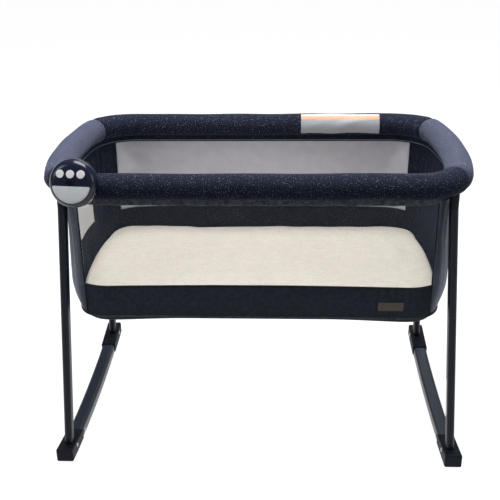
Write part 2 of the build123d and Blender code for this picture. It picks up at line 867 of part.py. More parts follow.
def bracket_room():
    """The channel in the unit's back for the neck and the tongue, open below."""
    below = 2 * soother_radius
    height = bracket_neck_height + 2 * bracket_clearance + below
    depth = 2 * (pad_radius + bracket_foot + cloth_clearance + bracket_clearance)
    neck = Box(bracket_neck_width + 2 * bracket_clearance, height, depth)
    neck = bracket_frame().location * (Pos(0, -below / 2, 0) * neck)
    return neck + bracket_tongue(bracket_clearance, below)


def make_back_shell():
    shell = back_body()
    plate = Pos(0, 0, -soother_back_depth - past)
    room = extrude(Pos(0, cell_row_y) * cell_room(), past + door_thickness + cell_gap + cell_depth())
    seat = fillet(cell_room(door_margin + door_clearance).vertices(), door_margin)
    seat = extrude(Pos(0, cell_row_y) * seat, past + door_thickness)
    shell -= plate * room
    shell -= plate * seat
    shank = extrude(Circle(shell_screw_diameter / 2 + fit_clearance), soother_back_depth)
    head = extrude(Circle(shell_screw_diameter + fit_clearance), soother_back_depth / 2)
    for x, y in shell_screw_places():
        shell -= Pos(x, y, -soother_back_depth) * (shank + head)
    return placed(shell) - pad_room() - bracket_room()


def make_shell_screws():
    screws = []
    for x, y in shell_screw_places():
        seat = -soother_back_depth / 2
        screw = rod((x, y, seat), (x, y, shell_screw_tip()), shell_screw_diameter / 2)
        head = rod((x, y, seat - shell_screw_head), (x, y, seat), shell_screw_diameter)
        screws.append(placed(screw + head))
    return Compound(children=screws)


def make_circuit_board():
    return placed(extrude(Circle(board_radius), circuit_board_thickness))


def make_speaker():
    """A small cone speaker on the board, behind the slots."""
    half = speaker_depth / 2
    magnet = extrude(Circle(speaker_magnet_radius), half)
    on_magnet = (Align.CENTER, Align.CENTER, Align.MIN)
    cone = Pos(0, 0, half) * Cone(speaker_magnet_radius, speaker_radius, half, align=on_magnet)
    return placed(Pos(0, slot_row_y, circuit_board_thickness) * (magnet + cone))


# Sewn labels

def make_rail_label():
    """A strip wrapped over the inner face of the back rail's sleeve."""
    inner = pad_radius + fit_clearance
    start, stop = rail_label_top_angle, rail_label_bottom_angle
    ring = Circle(inner + label_thickness) - Circle(inner)
    reach = 2 * pad_radius
    corners = [(0, 0)]
    for angle in (start, (2 * start + stop) / 3, (start + 2 * stop) / 3, stop):
        turn = math.radians(angle)
        corners.append((reach * math.cos(turn), reach * math.sin(turn)))
    wedge = make_face(Polyline(*corners, close=True))
    centre = Vector(rail_label_start, rail_half_width, rail_height)
    section = Plane(origin=centre, x_dir=(0, 1, 0), z_dir=(1, 0, 0)) * (ring & wedge)
    return extrude(section, rail_label_end - rail_label_start, dir=(1, 0, 0))


def make_patch():
    skin = basket(-label_gap - label_thickness) - basket(-label_gap)
    block = Pos(patch_x, -rail_half_width, patch_z) * Box(patch_width, 2 * pad_radius, patch_height)
    return skin & block


def make_wall_label():
    face = wall_thickness + label_gap
    skin = basket(face) - basket(face + label_thickness)
    middle = ((wall_label_front + wall_label_back) / 2, (wall_label_bottom + wall_label_top) / 2)
    block = Box(rail_half_length, wall_label_back - wall_label_front, wall_label_top - wall_label_bottom)
    return skin & (Pos(-rail_half_length, middle[0], middle[1]) * block)


parts = {
    "rail_joiners": make_joiners(),
    "rail_rivets": make_rail_rivets(),
    "socket_rivets": make_socket_rivets(),
    "rail_trim": make_trim(),
    "bottom_piping": make_bottom_piping(),
    "floor_cloth": make_floor_cloth(),
    "floor_board": make_board(),
    "mattress_pad": make_mattress(),
    "rail_label": make_rail_label(),
    "band_patch": make_patch(),
    "wall_label": make_wall_label(),
    "soother_bracket": make_bracket(),
    "soother_back_shell": make_back_shell(),
    "soother_front_shell": make_front_shell(),
    "soother_lens": make_lens(),
    "soother_screws": make_shell_screws(),
    "soother_circuit_board": make_circuit_board(),
    "soother_speaker": make_speaker(),
    "soother_batteries": make_batteries(),
    "soother_battery_door": make_battery_door(),
}
parts.update(make_basket_walls())
for sy in (FRONT, BACK):
    parts[NAMES_Y[sy] + "_rail_pad"] = make_side_pad(sy)
for sx in (LEFT, RIGHT):
    parts["rail_tube_" + NAMES_X[sx]] = make_rail_tube(sx)
    parts[NAMES_X[sx] + "_rail_pad"] = make_end_pad(sx)
    parts[NAMES_X[sx] + "_rocker_bar"] = make_rocker_bar(sx)
    parts[NAMES_X[sx] + "_stand_bolts"] = make_stand_bolts(sx)
for sx, sy in CORNERS:
    corner_name = NAMES_Y[sy] + "_" + NAMES_X[sx]
    parts[corner_name + "_socket"] = make_socket(sx, sy)
    parts[corner_name + "_spigot"] = make_spigot(sx, sy)
    parts[corner_name + "_leg"] = make_leg(sx, sy)
    parts[corner_name + "_rocker_cap"] = make_cap(sx, sy)
for name, place in zip(("left", "middle", "right"), button_places()):
    parts["soother_button_" + name] = make_button(place)

for node, shape in parts.items():
    export_step(shape, f"parts/{node}.step")
    print(node, len(shape.solids()), "solids", round(shape.volume), "mm3")
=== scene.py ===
# %% [markdown]
# # A rocking bassinet, dressed over its CAD frame
# The CAD model already holds every piece at its real size: the steel rail, the stands with their
# curved rockers, the soother with its keys. What it can't hold well is cloth. This notebook keeps
# the hard pieces, gives them real finishes, and replaces the soft ones with surfaces that sag,
# pucker and crease as sewn cloth does.

# %% Load the frame
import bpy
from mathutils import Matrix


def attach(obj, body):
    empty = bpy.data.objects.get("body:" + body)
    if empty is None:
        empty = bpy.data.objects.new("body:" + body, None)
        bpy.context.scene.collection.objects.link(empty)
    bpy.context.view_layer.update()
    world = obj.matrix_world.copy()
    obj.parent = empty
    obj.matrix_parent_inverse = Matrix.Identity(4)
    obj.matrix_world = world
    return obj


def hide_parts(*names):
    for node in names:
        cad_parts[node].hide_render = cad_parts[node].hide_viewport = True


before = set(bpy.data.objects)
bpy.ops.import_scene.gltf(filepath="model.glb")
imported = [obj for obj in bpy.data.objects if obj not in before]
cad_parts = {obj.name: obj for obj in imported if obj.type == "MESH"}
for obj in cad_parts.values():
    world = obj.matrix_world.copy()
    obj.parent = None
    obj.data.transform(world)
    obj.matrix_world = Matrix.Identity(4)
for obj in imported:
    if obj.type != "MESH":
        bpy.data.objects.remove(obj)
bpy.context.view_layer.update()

# %% [markdown]
# ## Small tools
# A surface here is always a grid of points worked out at once with numpy. One function turns such
# a grid into a mesh, with a UV map in metres along the cloth, so that a weave keeps its real size.
# Faces must point outwards, so the grid's first direction, its second direction and the outward
# normal follow the right-hand rule.

# %% Grid to mesh
import math
import bpy
import numpy as np
from mathutils import Matrix


def put_in_scene(name, mesh, material):
    piece = bpy.data.objects.new(name, mesh)
    bpy.context.scene.collection.objects.link(piece)
    mesh.materials.append(material)
    mesh.polygons.foreach_set("use_smooth", np.ones(len(mesh.polygons), bool))
    return piece


def spans(points, axis, wrap):
    """Running length along one direction of a grid, in metres, as the mean over the other."""
    ring = np.concatenate([points, points.take([0], axis)], axis) if wrap else points
    steps = np.linalg.norm(np.diff(ring, axis=axis), axis=2).mean(1 - axis)
    return np.concatenate([[0.0], np.cumsum(steps)])


def surface(name, points, material, wrap_u=False, wrap_v=False, cap_u=False):
    """Quads between neighbouring points of a grid; wrapping joins its last row to its first."""
    rows, columns = points.shape[:2]
    index = np.arange(rows * columns).reshape(rows, columns)
    index = np.vstack([index, index[:1]]) if wrap_u else index
    index = np.hstack([index, index[:, :1]]) if wrap_v else index
    quads = np.stack([index[:-1, :-1], index[1:, :-1], index[1:, 1:], index[:-1, 1:]], -1).reshape(-1, 4)
    u, v = np.meshgrid(spans(points, 0, wrap_u), spans(points, 1, wrap_v), indexing="ij")
    uv = np.stack([u, v], -1)
    corners = np.stack([uv[:-1, :-1], uv[1:, :-1], uv[1:, 1:], uv[:-1, 1:]], -2).reshape(-1, 2)
    faces = quads.tolist()
    if cap_u:
        faces += [index[0, :columns].tolist(), index[-1, :columns][::-1].tolist()]
        corners = np.vstack([corners, np.zeros((2 * columns, 2))])
    mesh = bpy.data.meshes.new(name)
    mesh.from_pydata(points.reshape(-1, 3), [], faces)
    mesh.uv_layers.new(name="cloth").data.foreach_set("uv", corners.ravel())
    print(name, len(mesh.vertices), "points")
    return put_in_scene(name, mesh, material)


def thicken(piece, thickness, lining=None):
    """Cloth thickness, added inwards; a lining is the material of the inner side."""
    wall = piece.modifiers.new("thickness", "SOLIDIFY")
    wall.thickness = thickness
    wall.offset = -1
    if lining:
        piece.data.materials.append(lining)
        wall.material_offset = 1
    return piece


# %% [markdown]
# Cloth is never smooth over a long run. A sum of a few sine waves with fixed, seeded phases gives
# a gentle unevenness that is the same on every run and costs nothing. A narrow bump, the bell
# curve, is used for creases and seams.

# %% Waves and creases
chance = np.random.default_rng(7)
full_turn = 6.28  # two pi, near enough for a wave


def waves(u, v, length_u, length_v, count=6):
    """A sum of sine waves over two lengths, about 1 high, with random directions and phases."""
    total = np.zeros(np.broadcast(u, v).shape)
    for turn, phase, share in zip(chance.uniform(0, 1, count), chance.uniform(0, full_turn, count),
                                  chance.uniform(0.6, 1.6, count)):
        way = turn * u / length_u + (1 - turn) * v / length_v
        total = total + np.sin(full_turn * share * way + phase)
    return total / math.sqrt(count)


def bell(x, width):
    """A bump 1 high and about twice its width across."""
    return np.exp(-(x / width) ** 2)


def ramp(x, start, stop):
    """Rises smoothly from 0 at start to 1 at stop."""
    t = np.clip((x - start) / (stop - start), 0, 1)
    return t * t * (3 - 2 * t)


# %% [markdown]
# ## Materials
# Colours are written as sRGB hex, as a picture editor shows them, and turned to the linear values
# that the renderer works in. One helper adds a node with its settings and links; the others build
# on it, for a sum, a colour ramp and a noise of a given grain.

# %% Colour and node helpers
def colour(code):
    """sRGB hex to linear red, green, blue and alpha."""
    parts = [int(code[i:i + 2], 16) / 255 for i in (1, 3, 5)]
    return [p / 12.92 if p <= 0.04045 else ((p + 0.055) / 1.055) ** 2.4 for p in parts] + [1.0]


def add(tree, kind, settings=(), **sockets):
    """Adds a node, sets its properties, and fills its inputs with values or with links."""
    node = tree.nodes.new(kind)
    for key, value in dict(settings).items():
        setattr(node, key, value)
    for key, value in sockets.items():
        socket = node.inputs[int(key[1:])] if key[1:].isdigit() else node.inputs[key.replace("_", " ")]
        if isinstance(value, bpy.types.NodeSocket):
            tree.links.new(value, socket)
        else:
            socket.default_value = value
    return node


def maths(tree, operation, *values):
    """The result of a Math node; each value is a number or a link."""
    sockets = {f"_{place}": value for place, value in enumerate(values)}
    return add(tree, "ShaderNodeMath", {"operation": operation}, **sockets).outputs[0]


def shades(tree, factor, stops):
    """Colours over a value between 0 and 1, from (place, colour) pairs."""
    node = add(tree, "ShaderNodeValToRGB", Fac=factor)
    band = node.color_ramp
    while len(band.elements) < len(stops):
        band.elements.new(0.5)
    for element, (place, code) in zip(band.elements, stops):
        element.position = place
        element.color = colour(code)
    return node.outputs["Color"]


def new_material(name, **sockets):
    """A material with one Principled shader, and its tree and shader for more nodes."""
    material = bpy.data.materials.new(name)
    material.use_nodes = True
    tree = material.node_tree
    shader = tree.nodes["Principled BSDF"]
    for key, value in sockets.items():
        shader.inputs[key.replace("_", " ")].default_value = value
    return material, tree, shader


def places(tree, scale, where="Object"):
    """Object or UV coordinates in units of 1/scale metres."""
    spot = add(tree, "ShaderNodeTexCoord").outputs[where]
    return add(tree, "ShaderNodeMapping", Vector=spot, Scale=(scale, scale, scale)).outputs["Vector"]


def noise(tree, size, detail, where="Object", **sockets):
    """Noise between 0 and 1 whose grain is a size in metres."""
    spot = places(tree, 1 / size, where)
    return add(tree, "ShaderNodeTexNoise", Vector=spot, Detail=detail, **sockets).outputs["Fac"]


def bump(tree, shader, height, strength, distance):
    """Small relief from a height between 0 and 1; distance is its depth in metres."""
    relief = add(tree, "ShaderNodeBump", Height=height, Strength=strength, Distance=distance)
    tree.links.new(relief.outputs["Normal"], shader.inputs["Normal"])


# %% [markdown]
# **Melange knit.** The rail's sleeve is a polyester jersey: navy yarn with a light fibre twisted
# in here and there, which shows as small pale flecks. The flecks are the nearest points of a
# Voronoi pattern, kept only in a share of its cells and brighter in some than in others. Real
# flecks are 1 to 2 mm; the knit itself, at 1 mm a stitch, is drawn at 2 mm so that it can show.

# %% Cloths
fleck_spacing, fleck_reach, stitch_size = 0.0075, 0.21, 0.002


def knit(name, dark, light, fleck, fleck_share=0.32, sheen=0.14):
    """Navy melange jersey over foam."""
    material, tree, shader = new_material(name, Roughness=0.85, Specular_IOR_Level=0.1,
                                          Sheen_Weight=sheen, Sheen_Roughness=0.4)
    shader.inputs["Sheen Tint"].default_value = colour("#9aa2c0")
    cloud = noise(tree, 0.009, 3.0, Roughness=0.75)
    base = shades(tree, cloud, [(0.38, dark), (0.62, light)])
    cells = add(tree, "ShaderNodeTexVoronoi", Vector=places(tree, 1 / fleck_spacing), Randomness=1.0)
    spot = maths(tree, "LESS_THAN", cells.outputs["Distance"], fleck_reach)
    pick = add(tree, "ShaderNodeSeparateColor", Color=cells.outputs["Color"])
    chosen = maths(tree, "LESS_THAN", pick.outputs["Red"], fleck_share)
    both = maths(tree, "MULTIPLY", spot, chosen)
    strong = maths(tree, "MULTIPLY", both, pick.outputs["Green"])
    mixed = add(tree, "ShaderNodeMix", {"data_type": "RGBA"}, _0=strong, _6=base, _7=colour(fleck))
    tree.links.new(mixed.outputs[2], shader.inputs["Base Color"])
    bump(tree, shader, noise(tree, stitch_size, 2.0), 0.3, 0.0005)
    return material


def woven(name, dark, light, thread, roughness=0.8, sheen=0.25, patch=0.05):
    """Plain weave: two crossed waves of threads, over slow changes of shade."""
    material, tree, shader = new_material(name, Roughness=roughness, Specular_IOR_Level=0.15,
                                          Sheen_Weight=sheen)
    base = shades(tree, noise(tree, patch, 5.0, Roughness=0.6), [(0.3, dark), (0.7, light)])
    spot = places(tree, 1 / thread, "UV")
    warp, weft = [add(tree, "ShaderNodeTexWave", {"bands_direction": direction}, Vector=spot, Scale=0.32,
                      Distortion=0.6).outputs["Fac"] for direction in ("X", "Y")]
    cross = maths(tree, "MAXIMUM", warp, weft)
    shade = add(tree, "ShaderNodeMapRange", Value=cross, To_Min=0.78, To_Max=1.08)
    tone = add(tree, "ShaderNodeHueSaturation", Color=base, Value=shade.outputs["Result"])
    tree.links.new(tone.outputs["Color"], shader.inputs["Base Color"])
    bump(tree, shader, cross, 0.4, 0.0004)
    return material


def satin(name, dark, light, thread=0.0016, roughness=0.4):
    """Satin: long floating threads, whose soft, streaky shine is painted into the base colour."""
    material, tree, shader = new_material(name, Roughness=roughness, Specular_IOR_Level=0.2,
                                          Sheen_Weight=0.1)
    spot = add(tree, "ShaderNodeTexCoord").outputs["UV"]
    long_threads = add(tree, "ShaderNodeMapping", Vector=spot, Scale=(40.0, 1 / thread, 1.0))
    threads = add(tree, "ShaderNodeTexNoise", Vector=long_threads.outputs["Vector"], Detail=3.0)
    both = maths(tree, "MULTIPLY", threads.outputs["Fac"], noise(tree, 0.04, 4.0))
    # Painted shine: the thread streaks lighten the base colour from dark to light, in place of the
    # satin's sheen.
    base = shades(tree, both, [(0.12, dark), (0.42, light)])
    tree.links.new(base, shader.inputs["Base Color"])
    bump(tree, shader, threads.outputs["Fac"], 0.25, 0.0004)
    return material


sleeve_knit = knit("navy melange polyester jersey", "#0e111d", "#272d40", "#f0f2fb")
# Painted light: the end sleeves take a lighter copy of the same knit, with more flecks and sheen,
# standing in for the light that falls on their tops.
lit_end_knit = knit("navy melange jersey, painted lighter where lit", "#2b3042", "#5b6074", "#f0f2fb", 0.5, 0.25)
lining_knit = knit("navy melange lining", "#10131f", "#222839", "#a9afc6", 0.3, 0.05)
band_cloth = woven("slate polyester canvas", "#242a34", "#343c49", 0.0024, sheen=0.1)
end_cloth = woven("grey-blue coated polyester", "#616b80", "#727c92", 0.0024, roughness=0.5, sheen=0.2,
                  patch=0.12)
# Silver-grey satin tape; its lighter streaks are painted shine.
binding_satin = satin("silver-grey satin binding", "#23272f", "#6a7080")
piping_cloth = woven("grey woven piping", "#3a3f48", "#565b64", 0.0018)
dark_piping = woven("dark woven piping", "#15181f", "#252932", 0.0018)
underside = woven("black spunbond polypropylene", "#060709", "#101216", 0.003)
print(len(bpy.data.materials), "materials so far")

# %% [markdown]
# ** Net.** A warp-knit net is mostly holes. Its real holes are about 1.5 mm, below one pixel of the
# picture, so the threads are drawn at 3 mm. The front net lets most of the light through and reads
# as a sheer haze. The back one is drawn as a dense veil, nearly opaque, in a pale grey that is
# painted light: it stands in for the light that shows through the net from behind.

# %% Net
def net(name, thread_colour, thin, thick):
    """See-through net: alpha swings between two values over crossed threads."""
    material, tree, shader = new_material(name, Roughness=0.7, Sheen_Weight=0.2)
    spot = places(tree, 1 / 0.003, "UV")
    warp = add(tree, "ShaderNodeTexWave", {"bands_direction": "DIAGONAL"}, Vector=spot, Scale=0.3)
    turned = add(tree, "ShaderNodeMapping", Vector=spot, Rotation=(0.0, 0.0, 1.5708))
    weft = add(tree, "ShaderNodeTexWave", {"bands_direction": "DIAGONAL"},
               Vector=turned.outputs["Vector"], Scale=0.3)
    cross = maths(tree, "MAXIMUM", warp.outputs["Fac"], weft.outputs["Fac"])
    cloud = noise(tree, 0.1, 4.0)
    soft = maths(tree, "MULTIPLY_ADD", cloud, 0.4, cross)
    alpha = add(tree, "ShaderNodeMapRange", Value=soft, From_Min=0.2, From_Max=1.3, To_Min=thin,
                To_Max=thick)
    tree.links.new(alpha.outputs["Result"], shader.inputs["Alpha"])
    shade = shades(tree, cloud, [(0.3, thread_colour[0]), (0.7, thread_colour[1])])
    tree.links.new(shade, shader.inputs["Base Color"])
    return material


front_net_knit = net("sheer warp-knit net", ("#6d7076", "#85888e"), 0.07, 0.13)
# Painted light: the back net is drawn nearly opaque in a pale grey that stands in for the light showing
# through it from behind.
painted_pale_back_net = net("warp-knit net painted pale for light from behind", ("#cacad6", "#d2d2dc"), 0.88, 0.92)

# %% [markdown]
# **Moulded, painted and plated finishes.** The stands are steel tube with a powder coat, which is
# smooth but has a faint orange peel; the rocker ends are matte polypropylene from a spark-eroded
# mould; the soother is glossy ABS, which mirrors every lamp; its keys and lens are milky
# polycarbonate that lets some light in.

# %% Hard finishes
def moulded(name, code, roughness, grain=0.0006, relief=0.1, variation=0.12, **sockets):
    """Plastic or paint of one colour, with slow changes of shade and a fine relief."""
    material, tree, shader = new_material(name, Roughness=roughness, **sockets)
    cloud = noise(tree, 0.03, 4.0)
    shade = add(tree, "ShaderNodeMapRange", Value=cloud, To_Min=1 - variation, To_Max=1 + variation)
    tone = add(tree, "ShaderNodeHueSaturation", Color=colour(code), Value=shade.outputs["Result"])
    tree.links.new(tone.outputs["Color"], shader.inputs["Base Color"])
    dull = add(tree, "ShaderNodeMapRange", Value=cloud, To_Min=roughness * 0.85,
               To_Max=roughness * 1.15)
    tree.links.new(dull.outputs["Result"], shader.inputs["Roughness"])
    bump(tree, shader, noise(tree, grain, 2.0), relief, grain / 4)
    return material


def dress(material, *nodes):
    """Gives CAD nodes a finish in place of their plain colour."""
    for node in nodes:
        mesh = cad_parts[node].data
        mesh.materials.clear()
        mesh.materials.append(material)
    print(material.name, "on", len(nodes), "nodes")


corner_names = [f"{y}_{x}" for y in ("front", "back") for x in ("left", "right")]
corner_mouldings = [f"{place}_{part}" for place in corner_names
                    for part in ("rocker_cap", "spigot", "socket")]
dress(moulded("bare drawn steel", "#8f9296", 0.32, 0.001, 0.1, 0.08, Metallic=1.0),
      "rail_tube_left", "rail_tube_right", "rail_joiners")
dress(moulded("zinc-plated steel", "#a9abae", 0.28, 0.0008, 0.06, 0.08, Metallic=1.0),
      "rail_rivets", "socket_rivets", "left_stand_bolts", "right_stand_bolts", "soother_screws")
dress(moulded("navy powder coat", "#171c2a", 0.36, 0.0012, 0.12, 0.1, Specular_IOR_Level=0.18),
      *[place + "_leg" for place in corner_names])
dress(moulded("slate powder coat", "#2f384a", 0.3, 0.0012, 0.12, 0.1, Specular_IOR_Level=0.3),
      "left_rocker_bar", "right_rocker_bar")
dress(moulded("matte polypropylene", "#151924", 0.55, 0.0009, 0.35, 0.12, Specular_IOR_Level=0.15),
      *corner_mouldings, "soother_bracket")
dress(moulded("glossy navy ABS", "#191e33", 0.2, 0.002, 0.02, 0.06, Specular_IOR_Level=0.3,
              Coat_Weight=0.12, Coat_Roughness=0.04),
      "soother_front_shell", "soother_back_shell", "soother_battery_door")
dress(moulded("milky polycarbonate", "#f0f1f6", 0.28, 0.002, 0.02, 0.03, Subsurface_Weight=0.25,
              Subsurface_Scale=0.004),
      "soother_lens", "soother_button_left", "soother_button_middle", "soother_button_right")
dress(moulded("green glass-fibre laminate", "#1c5a35", 0.35), "soother_circuit_board")
dress(moulded("black paper and pressed steel", "#16171a", 0.6), "soother_speaker")
dress(moulded("wrapped dry cell", "#8d7a4a", 0.3, Metallic=0.6), "soother_batteries")
dress(moulded("plain fibre board", "#8a7355", 0.8, 0.002, 0.3, 0.2), "floor_board")

# %% [markdown]
# ## The rail's line
# Everything soft follows the rail: a rounded rectangle whose two ends bow out a little. The same
# numbers as in the CAD model draw it. The line starts at the middle of the front and runs round
# counter-clockwise as seen from above; with each point comes the direction that faces outwards.

# %% Rail line
rail_half_length, rail_half_width, corner_radius, end_radius = 0.4303, 0.2377, 0.105, 0.9
rail_height, sleeve_radius = 0.652, 0.0272
corner_y = rail_half_width - corner_radius
end_x = rail_half_length - end_radius
reach = math.sqrt((end_radius - corner_radius) ** 2 - corner_y ** 2)
corner_x = end_x + reach
bow = math.atan2(corner_y, reach)


def arc(x, y, radius, start, stop):
    """Points and outward angles along an arc."""
    angle = np.linspace(start, stop, 200)
    return np.stack([x + radius * np.cos(angle), y + radius * np.sin(angle), angle], 1)


quarter = math.pi / 2
whole = np.vstack([
    [[0, -rail_half_width, -quarter]],
    arc(corner_x, -corner_y, corner_radius, -quarter, -bow), arc(end_x, 0, end_radius, -bow, bow),
    arc(corner_x, corner_y, corner_radius, bow, quarter),
    arc(-corner_x, corner_y, corner_radius, quarter, 2 * quarter - bow),
    arc(-end_x, 0, end_radius, 2 * quarter - bow, 2 * quarter + bow),
    arc(-corner_x, -corner_y, corner_radius, 2 * quarter + bow, 3 * quarter),
    [[0, -rail_half_width, 3 * quarter]]])
run = np.concatenate([[0], np.cumsum(np.hypot(*np.diff(whole[:, :2], axis=0).T))])
rail_length = run[-1]


def rail_at(s):
    """Place and outward direction on the rail's line at a distance s from the front's middle."""
    lap = np.floor_divide(s, rail_length)
    s = s - lap * rail_length
    angle = np.interp(s, run, whole[:, 2])
    xy = np.stack([np.interp(s, run, whole[:, 0]), np.interp(s, run, whole[:, 1])], -1)
    return xy, np.stack([np.cos(angle), np.sin(angle)], -1)


def where_facing(degrees):
    """Distance along the line where it faces a direction, from -90 at the front."""
    return float(np.interp(math.radians(degrees), whole[:, 2], run))


print("rail line", round(rail_length, 4), "m, corners start at x =", round(corner_x, 4))

# %% [markdown]
# ## Padded sleeves
# Four foam sleeves in knit covers wrap the steel tube. On the real rail they are sewn tubes that
# meet at a seam on each corner; the cloth is pulled in at the seam, swells beside it, and creases
# slantwise on the inside of the bend, where it has less way to go. A circle carried along the
# rail's line gives the tube, and small changes of its radius give all of that. Cloth simulation
# would swell the whole tube evenly, which a tight sleeve doesn't do.

# %% Sleeves
def sleeve(name, node, facing_start, facing_stop, cloth, laps=0):
    """Circle of the sleeve's radius along the rail's line, pinched at both seams and fuller on the
    outside past the corners.

    Place = line + radius * (cos(turn) * outwards + sin(turn) * up)."""
    start, stop = where_facing(facing_start) - laps * rail_length, where_facing(facing_stop)
    s = np.linspace(start, stop, int((stop - start) / 0.004))[:, None]
    turn = np.linspace(0, 2 * math.pi, 72, endpoint=False)[None, :]
    line, out = rail_at(s[:, 0])
    seam = np.minimum(s - start, stop - s)
    bend = bell(np.abs(np.abs(line[:, :1]) - corner_x - 0.05), 0.06)
    inner = np.clip(-np.cos(turn), 0, 1) ** 1.5
    slant = np.sin(full_turn * (s / 0.021 + 0.9 * turn / full_turn) + 1.5 * waves(s, turn, 0.08, 3.0, 3))
    radius = sleeve_radius - 0.0004 + 0.0006 * waves(s, turn, 0.12, 5.0)
    radius = radius - 0.0030 * bell(seam, 0.0035) + 0.0008 * bell(seam - 0.012, 0.010)
    radius = radius + 0.0013 * slant * bend * inner
    outer = np.clip(np.cos(turn), 0, 1)
    radius = radius + 0.0048 * outer * ramp(np.abs(line[:, :1]), corner_x + 0.015, corner_x + 0.075)
    points = np.empty((len(s), turn.shape[1], 3))
    points[..., :2] = line[:, None, :] + (radius * np.cos(turn))[..., None] * out[:, None, :]
    points[..., 2] = rail_height + radius * np.sin(turn)
    piece = surface(name, points, cloth, wrap_v=True, cap_u=True)
    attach(piece, "basket_frame")
    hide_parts(node)


# The two end sleeves wear the copy of the knit that is painted lighter for the light on them.
sleeve("front_sleeve", "front_rail_pad", 210, -30, sleeve_knit, laps=1)
sleeve("right_sleeve", "right_rail_pad", -30, 30, lit_end_knit)
sleeve("back_sleeve", "back_rail_pad", 30, 150, sleeve_knit)
sleeve("left_sleeve", "left_rail_pad", 150, 210, lit_end_knit)

# %% [markdown]
# **Binding.** A satin tape joins the wall cloth to the sleeve all the way round. It is folded
# over the raw edge, so its lower edge is a thicker roll, and as it was sewn on a curve it ripples.
# The tape is a tall, thin section carried along a line just inside the sleeve.

# %% Binding
def crosswise(path, normals, closed):
    """The unit directions square to a path's tangents and to its normals."""
    ahead = np.roll(path, -1, 0) - np.roll(path, 1, 0) if closed else np.gradient(path, axis=0)
    tangent = ahead / np.linalg.norm(ahead, axis=1, keepdims=True)
    across = np.cross(normals, tangent)
    return across / np.linalg.norm(across, axis=1, keepdims=True)


def carried(path, normals, profile, closed=False):
    """A flat profile carried along a path: first value along the normal, second across it."""
    across = crosswise(path, normals, closed)[:, None, :]
    return path[:, None, :] + profile[..., :1] * normals[:, None, :] + profile[..., 1:] * across


def ring(radius, count=12):
    """A circle as a profile for carried()."""
    turn = np.linspace(0, 2 * math.pi, count, endpoint=False)
    return np.stack([radius * np.cos(turn), radius * np.sin(turn)], -1)[None]


s = np.linspace(0, rail_length, 1100, endpoint=False)
line, out = rail_at(s)
ripple = 0.0010 * waves(s, s, 0.045, 0.09) * (0.6 + 0.4 * np.sin(full_turn * s / 0.41))
tape_inset, tape_height, tape_half_width = 0.0037, 0.6182, 0.0078
tape = np.zeros((len(s), 3))
tape[:, :2] = line + (ripple - tape_inset)[:, None] * out
tape[:, 2] = tape_height + 0.0005 * waves(s, s, 0.05, 0.11)
out_3d = np.concatenate([out, np.zeros((len(s), 1))], 1)
around = np.linspace(0, 2 * math.pi, 28, endpoint=False)
roll = 0.0011 + 0.0009 * bell(np.sin(around) + 0.75, 0.28)
section = np.stack([roll * np.cos(around), -tape_half_width * np.sin(around)], -1)[None]
binding = surface("rail_binding", carried(tape, out_3d, section * [1, -1], True), binding_satin,
                  wrap_u=True, wrap_v=True)
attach(binding, "basket_frame")
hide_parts("rail_trim")

# %% [markdown]
# **Hem.** Inside, a strip of the lining covers the walls' raw upper edge. A light thread along its
# lower edge is the seam that shows under the rail at both ends.

# %% Hem and its stitching
def level_loop(inset, z, count=900):
    """A level line at an inset from the rail's line, and its outward normals."""
    s = np.linspace(0, rail_length, count, endpoint=False)
    line, out = rail_at(s)
    normals = np.column_stack([out, np.zeros(count)])
    return np.column_stack([line - inset * out, np.full(count, z)]), normals


hem_inset, hem_height, hem_half_width = 0.0092, 0.6200, 0.0085
stitch_inset, stitch_height, stitch_radius = 0.0098, 0.6150, 0.0006
path, normals = level_loop(hem_inset, hem_height)
flat_turn = np.linspace(0, 2 * math.pi, 16, endpoint=False)
strip = np.stack([0.0005 * np.cos(flat_turn), hem_half_width * np.sin(flat_turn)], -1)[None]
hem = surface("inner_hem", carried(path, normals, strip, True), lining_knit, wrap_u=True, wrap_v=True)
path, normals = level_loop(stitch_inset, stitch_height)
seam_thread = moulded("pale sewing thread", "#8d93a6", 0.7, 0.001, 0.2, 0.2)
seam = surface("hem_stitching", carried(path, normals, ring(stitch_radius, 8), True), seam_thread,
               wrap_u=True, wrap_v=True)
for piece, slot in ((hem, "end_cloth"), (seam, "trim_cloth")):
    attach(piece, "basket_frame")

# %% [markdown]
# ## Walls of the basket
# Seen from above each level of the basket is the same kind of oval, a little smaller further
# down. Height is counted by one value q: 1 at the rail, 0 at the belly, and down to -1 at the
# bottom seam, along a quarter turn in between. Because the oval is made of straight lines and
# arcs, the side walls can be written directly as a function of x and q, and the end walls as a
# function of the way round and q.

# %% Wall form
wall_top, belly, bottom_seam = 0.6248, 0.415, 0.352
sills = {-1: (0.424, 0.005), 1: (0.431, 0.009)}
window_half = 0.371


def level(q):
    """Height, and the parameters of the oval there, for each q."""
    turn = np.clip(-q, 0, 1) * quarter
    up = np.clip(q, 0, 1)
    z = np.where(q > 0, belly + up * (wall_top - belly), belly - (belly - bottom_seam) * np.sin(turn))
    under = 1 - np.cos(turn)
    in_end = 0.007 - 0.002 * up + 0.016 * under
    in_side = 0.007 - 0.002 * up + 0.006 * under
    corner, big = corner_radius - in_side - 0.028 * under, end_radius - in_end
    inner_y = rail_half_width - in_side - corner
    reach = np.sqrt((big - corner) ** 2 - inner_y ** 2)
    return z, inner_y, corner, big, end_x + reach, np.arctan2(inner_y, reach)


def sill_height(x, side):
    """The sill bows up a little towards the middle."""
    height, rise = sills[side]
    return height + rise * (1 - (x / window_half) ** 2)


def q_of(z):
    """The q of a height above the belly."""
    return (z - belly) / (wall_top - belly)


def side_wall(x, q, side):
    """Front (-1) or back (1) wall: straight in the middle, an arc past the corner's start."""
    z, inner_y, corner, _, start, _ = level(q)
    past = np.clip(np.abs(x) - start, 0, None)
    y = inner_y + np.sqrt(corner ** 2 - past ** 2)
    return np.stack([x + 0 * q, side * (y + 0 * x), z + 0 * x], -1)


